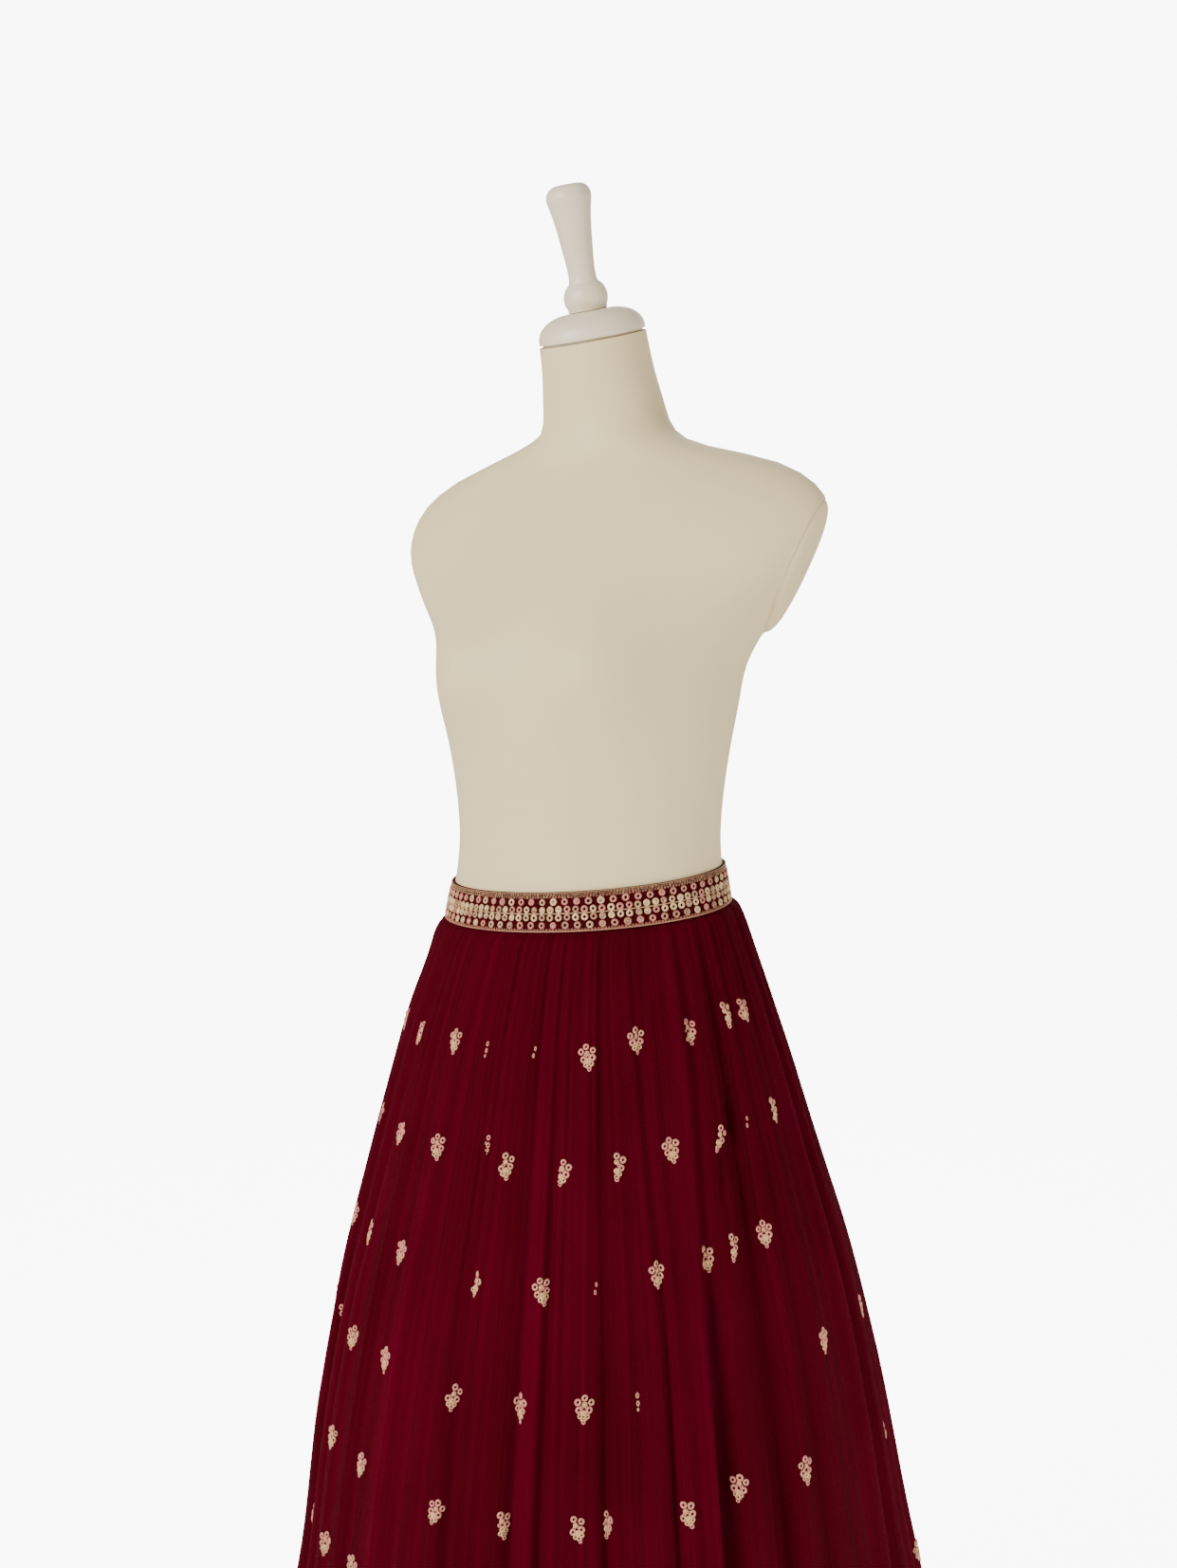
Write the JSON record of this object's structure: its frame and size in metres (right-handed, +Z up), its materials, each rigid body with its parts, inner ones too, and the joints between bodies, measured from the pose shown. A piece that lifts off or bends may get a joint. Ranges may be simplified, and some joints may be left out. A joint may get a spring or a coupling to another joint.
{
  "type": "lehenga skirt on a limbless dress form",
  "caption": "Floor-length gathered lehenga skirt with an embroidered waistband, standing on a limbless dress form with a turned neck handle, a pole and a round base",
  "frame": {"origin": "centre of the round base's underside, where the stand rests on a floor", "axes": "+Z up, the form's front faces -Y, the wearer's left is +X"},
  "size_m": [0.7215, 0.7299, 1.6321],
  "materials": {
    "georgette": "fine crepe-woven maroon georgette with a soft sheen",
    "band_embroidery": "maroon ground covered with pale gold corded loops, rings and beads",
    "form_skin": "smooth cream jersey stretched over a hard shell",
    "form_trim": "turned wood with satin cream paint",
    "stand_paint": "satin cream paint"
  },
  "bodies": {
    "root": {"skirt_front": "georgette", "skirt_back": "georgette", "waistband": "band_embroidery", "form_torso": "form_skin", "neck_cap": "form_trim", "neck_handle": "form_trim", "stand_pole": "stand_paint", "stand_base": "stand_paint", "stand_collar": "stand_paint"}
  },
  "joints": []
}
